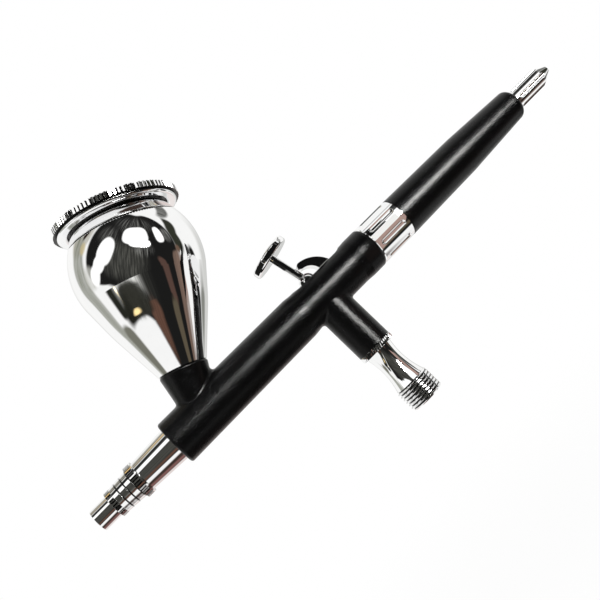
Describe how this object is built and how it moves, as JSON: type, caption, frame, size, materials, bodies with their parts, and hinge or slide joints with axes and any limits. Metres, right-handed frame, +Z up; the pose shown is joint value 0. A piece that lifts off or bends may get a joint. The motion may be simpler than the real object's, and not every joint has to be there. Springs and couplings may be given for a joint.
{
  "type": "airbrush gun",
  "caption": "Gravity-feed dual-action airbrush: slim barrel, leaning bulb cup with lid, finger lever on top, air valve with hose thread below, tapered handle.",
  "frame": {"origin": "centre of the hose thread's end face, where the air hose screws on", "axes": "+X along the barrel to the rear (nozzle at -X), +Y to the left of the barrel seen from the handle, +Z up to the cup; the hose thread points along -Z"},
  "size_m": [0.1665, 0.0338, 0.0948],
  "materials": {
    "black_paint": "fine-grained satin black paint on brass",
    "chrome": "mirror-polished chrome plate",
    "steel": "ground stainless steel",
    "brass": "turned brass",
    "ptfe": "white PTFE",
    "rubber": "black nitrile"
  },
  "bodies": {
    "airbrush": {"body_shell": "black_paint", "head_base": "chrome", "nozzle_seal": "ptfe", "nozzle": "steel", "nozzle_cap": "chrome", "needle_cap": "chrome", "needle_packing": "ptfe", "packing_screw": "brass", "cup": "chrome", "spring_guide": "brass", "needle_spring": "steel", "grip_ring": "chrome", "handle": "black_paint", "piston_packing": "rubber", "valve_body": "chrome", "valve_spring": "steel", "valve_screw": "brass"},
    "lid": {"cup_lid": "chrome"},
    "valve_piston": {"piston": "brass"},
    "main_lever": {"trigger": "chrome"},
    "back_lever": {"auxiliary_lever": "chrome"},
    "needle_set": {"needle": "steel", "needle_guide": "brass", "chuck_nut": "brass"},
    "air_poppet": {"poppet": "steel", "poppet_seal": "rubber"},
    "needle_stop": {"stop_rod": "steel"},
    "stop_screw_knob": {"stop_knob": "chrome"}
  },
  "joints": [
    {"name": "lid_lift", "type": "slide", "parent": "airbrush", "child": "lid", "axis": [0.3584, 0, 0.9336], "range_m": [0, 0.015]},
    {"name": "trigger_press", "type": "slide", "parent": "airbrush", "child": "valve_piston", "axis": [0, 0, -1], "range_m": [0, 0.0023], "stiffness_N_per_m": 800},
    {"name": "trigger_pull", "type": "hinge", "parent": "valve_piston", "child": "main_lever", "pos_m": [0, 0, 0.0336], "axis": [0, 1, 0], "range_deg": [0, 18], "stiffness_Nm_per_rad": 0.04},
    {"name": "auxiliary_pull", "type": "hinge", "parent": "airbrush", "child": "back_lever", "pos_m": [0.0052, 0, 0.0338], "axis": [0, 1, 0], "range_deg": [0, 19.08]},
    {"name": "needle_draw", "type": "slide", "parent": "airbrush", "child": "needle_set", "axis": [1, 0, 0], "range_m": [0, 0.00225], "deforming": ["needle_spring"]},
    {"name": "valve_open", "type": "slide", "parent": "airbrush", "child": "air_poppet", "axis": [0, 0, -1], "range_m": [0, 0.0023], "deforming": ["valve_spring"]},
    {"name": "stop_travel", "type": "slide", "parent": "airbrush", "child": "needle_stop", "axis": [1, 0, 0], "range_m": [0, 0.0032]},
    {"name": "stop_turn", "type": "hinge", "parent": "needle_stop", "child": "stop_screw_knob", "pos_m": [0.0756, 0, 0.0368], "axis": [1, 0, 0], "range_deg": [0, 1440]}
  ],
  "couplings": [
    {"joint": "auxiliary_pull", "follows": "trigger_pull", "ratio": 1.06},
    {"joint": "needle_draw", "follows": "trigger_pull", "m_per_rad": 0.007162},
    {"joint": "valve_open", "follows": "trigger_press", "ratio": 1},
    {"joint": "stop_turn", "follows": "stop_travel", "rad_per_m": 7854}
  ]
}
